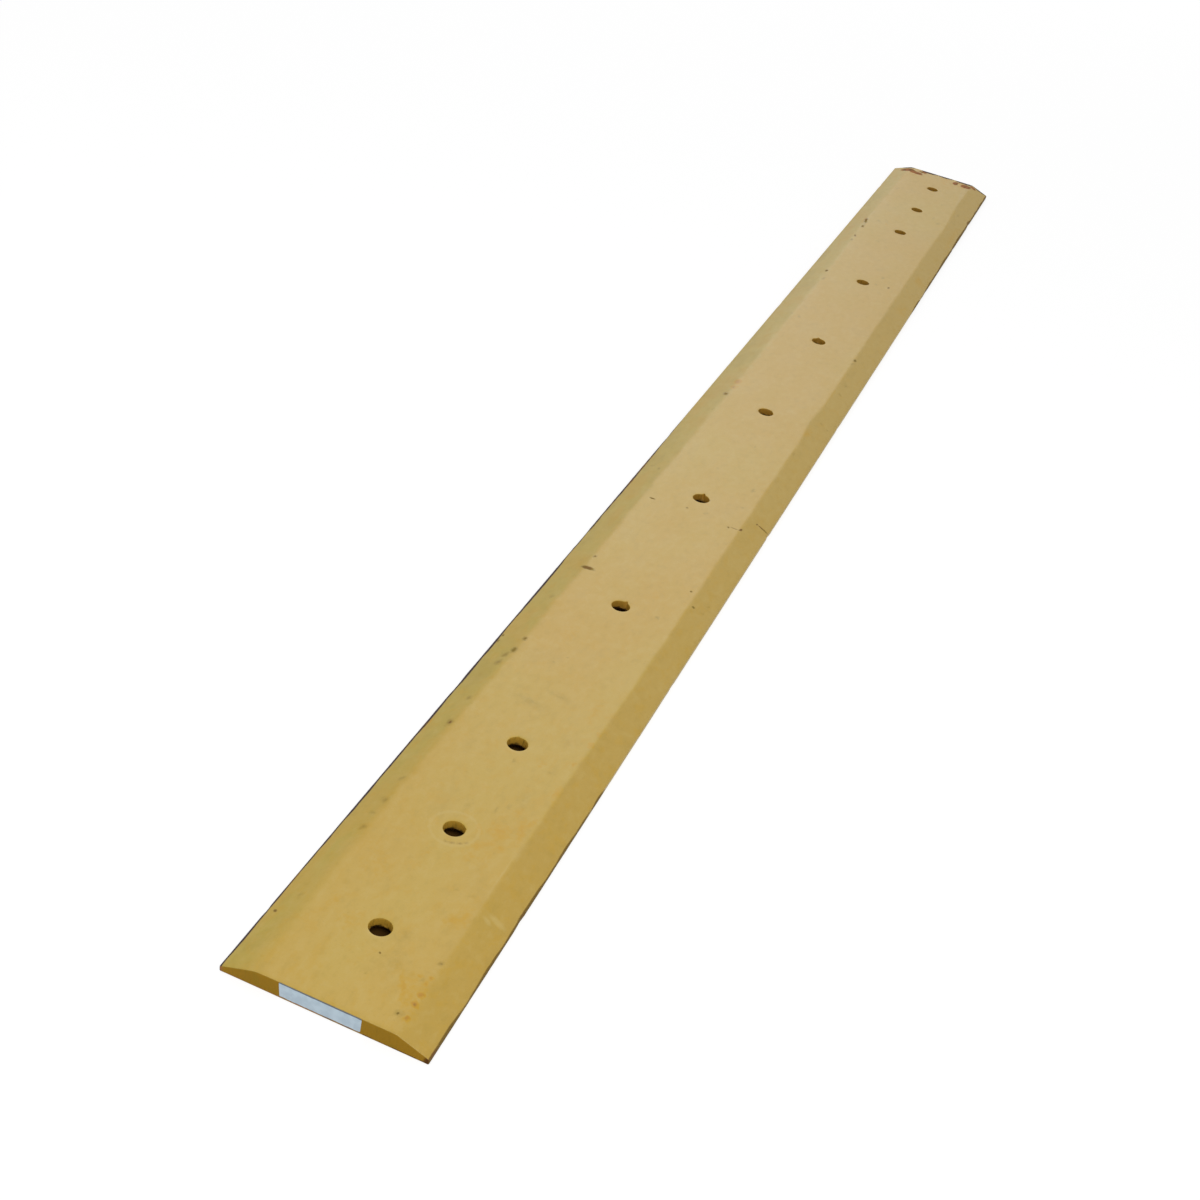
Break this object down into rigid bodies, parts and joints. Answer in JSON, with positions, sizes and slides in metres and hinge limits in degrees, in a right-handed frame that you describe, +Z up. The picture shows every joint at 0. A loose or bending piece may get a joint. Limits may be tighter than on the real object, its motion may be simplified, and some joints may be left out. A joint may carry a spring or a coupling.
{
  "type": "earthmover cutting edge",
  "caption": "Long double-bevel steel cutting edge with a row of square-neck countersunk bolt holes, painted yellow.",
  "frame": {"origin": "middle of the wide face that the edge lies on", "axes": "+X along the edge, away from the end that has the label; +Y across it; +Z up, out of the narrow bevelled side"},
  "size_m": [2.6419, 0.2032, 0.0191],
  "materials": {
    "yellow_paint": "satin, thin and weathered, over rolled steel",
    "label_paper": "matt coated label paper"
  },
  "bodies": {
    "root": {"cutting_edge": "yellow_paint", "end_label": "label_paper"}
  },
  "joints": []
}
